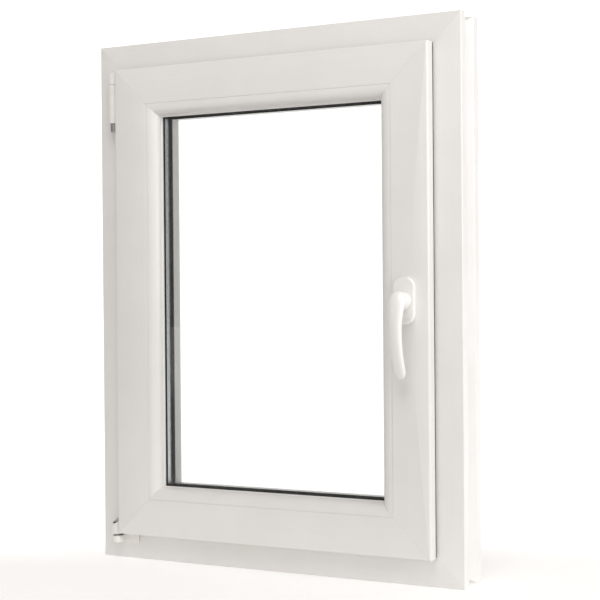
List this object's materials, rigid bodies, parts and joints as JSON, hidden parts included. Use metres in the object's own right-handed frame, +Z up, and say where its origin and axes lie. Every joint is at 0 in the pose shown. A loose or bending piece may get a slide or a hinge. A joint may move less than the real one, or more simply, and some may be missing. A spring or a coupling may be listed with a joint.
{
  "type": "casement window",
  "caption": "Tilt-and-turn casement window: white hollow-profile frame and hinged sash, sealed glazing with beads and gaskets, side hinges, edge locking gear and lever handle.",
  "frame": {"origin": "middle of the frame's bottom edge, on the plane of the frame's room-side face", "axes": "+X to the right as seen from the room, from the hinges to the handle; +Y away from the room, towards the outside; +Z up"},
  "size_m": [0.6, 0.1412, 0.8],
  "materials": {
    "pvc_white": "smooth white PVC, satin sheen",
    "steel_galvanised": "galvanised, dull",
    "gasket_black": "matt black EPDM",
    "glass": "clear float glass",
    "spacer_aluminium": "mill finish",
    "sealant_black": "matt black",
    "packer_plastic": "moulded blue plastic",
    "zinc_hardware": "zinc plated, silver satin",
    "steel_pins": "plain grey steel",
    "bush_black": "moulded black plastic",
    "cap_white": "moulded white plastic, satin",
    "handle_white": "white powder coat, satin gloss",
    "base_grey": "moulded light grey plastic"
  },
  "bodies": {
    "frame": {"frame_sill": "pvc_white", "frame_head": "pvc_white", "frame_jamb_hinge": "pvc_white", "frame_jamb_lock": "pvc_white", "frame_steel": "steel_galvanised", "frame_seal": "gasket_black", "keep_lock": "zinc_hardware", "keep_top": "zinc_hardware", "keep_tilt": "zinc_hardware", "keep_screws": "zinc_hardware", "stay_bearing": "zinc_hardware", "stay_pin": "steel_pins", "pivot_rest": "zinc_hardware", "rest_bush": "bush_black", "hinge_covers": "cap_white", "hinge_screws": "zinc_hardware", "drain_caps": "pvc_white"},
    "pivot": {"pivot_pin": "steel_pins", "stay_bush": "bush_black"},
    "stay": {"stay_arm": "zinc_hardware", "stay_arm_cap": "cap_white", "stay_stud": "steel_pins"},
    "sash": {"sash_rail_bottom": "pvc_white", "sash_rail_top": "pvc_white", "sash_stile_hinge": "pvc_white", "sash_stile_lock": "pvc_white", "sash_steel": "steel_galvanised", "bead_bottom": "pvc_white", "bead_top": "pvc_white", "bead_hinge": "pvc_white", "bead_lock": "pvc_white", "bead_seal": "gasket_black", "glazing_seal": "gasket_black", "glass_inner": "glass", "glass_outer": "glass", "glass_spacer": "spacer_aluminium", "glass_sealant": "sealant_black", "glazing_packers": "packer_plastic", "sash_seal": "gasket_black", "corner_band": "zinc_hardware", "corner_band_cap": "cap_white", "corner_band_screws": "zinc_hardware", "stay_guide": "zinc_hardware", "faceplates": "zinc_hardware", "faceplate_screws": "zinc_hardware", "corner_drives": "zinc_hardware", "drive_bands": "zinc_hardware", "gear_case": "zinc_hardware", "handle_base": "base_grey", "handle_cover": "handle_white", "handle_screws": "zinc_hardware"},
    "handle": {"handle_lever": "handle_white", "handle_spindle": "steel_pins", "drive_pinion": "steel_pins"},
    "lock_rod": {"rod_lock": "zinc_hardware", "cam_lock": "zinc_hardware"},
    "top_rod": {"rod_top": "zinc_hardware", "cam_top": "zinc_hardware"},
    "bottom_rod": {"rod_bottom": "zinc_hardware", "cam_bottom": "zinc_hardware"}
  },
  "joints": [
    {"name": "turn", "type": "hinge", "parent": "frame", "child": "pivot", "pos_m": [-0.2673, -0.013, 0.031], "axis": [0, 0, -1], "range_deg": [0, 100]},
    {"name": "tilt", "type": "hinge", "parent": "pivot", "child": "sash", "pos_m": [-0.2673, -0.013, 0.045], "axis": [1, 0, 0], "range_deg": [0, 9]},
    {"name": "handle_turn", "type": "hinge", "parent": "sash", "child": "handle", "pos_m": [0.2245, 0, 0.4], "axis": [0, 1, 0], "range_deg": [0, 180]},
    {"name": "lock_slide", "type": "slide", "parent": "sash", "child": "lock_rod", "axis": [0, 0, -1], "range_m": [0, 0.0354]},
    {"name": "top_slide", "type": "slide", "parent": "sash", "child": "top_rod", "axis": [1, 0, 0], "range_m": [0, 0.0354]},
    {"name": "bottom_slide", "type": "slide", "parent": "sash", "child": "bottom_rod", "axis": [-1, 0, 0], "range_m": [0, 0.0354]},
    {"name": "stay_swing", "type": "hinge", "parent": "pivot", "child": "stay", "pos_m": [-0.2673, -0.013, 0.745], "axis": [0, 0, -1], "range_deg": [0, 22.5]}
  ],
  "couplings": [
    {"joint": "lock_slide", "follows": "handle_turn", "m_per_rad": 0.01125},
    {"joint": "top_slide", "follows": "handle_turn", "m_per_rad": 0.01125},
    {"joint": "bottom_slide", "follows": "handle_turn", "m_per_rad": 0.01125},
    {"joint": "stay_swing", "follows": "tilt", "ratio": 2.49}
  ]
}
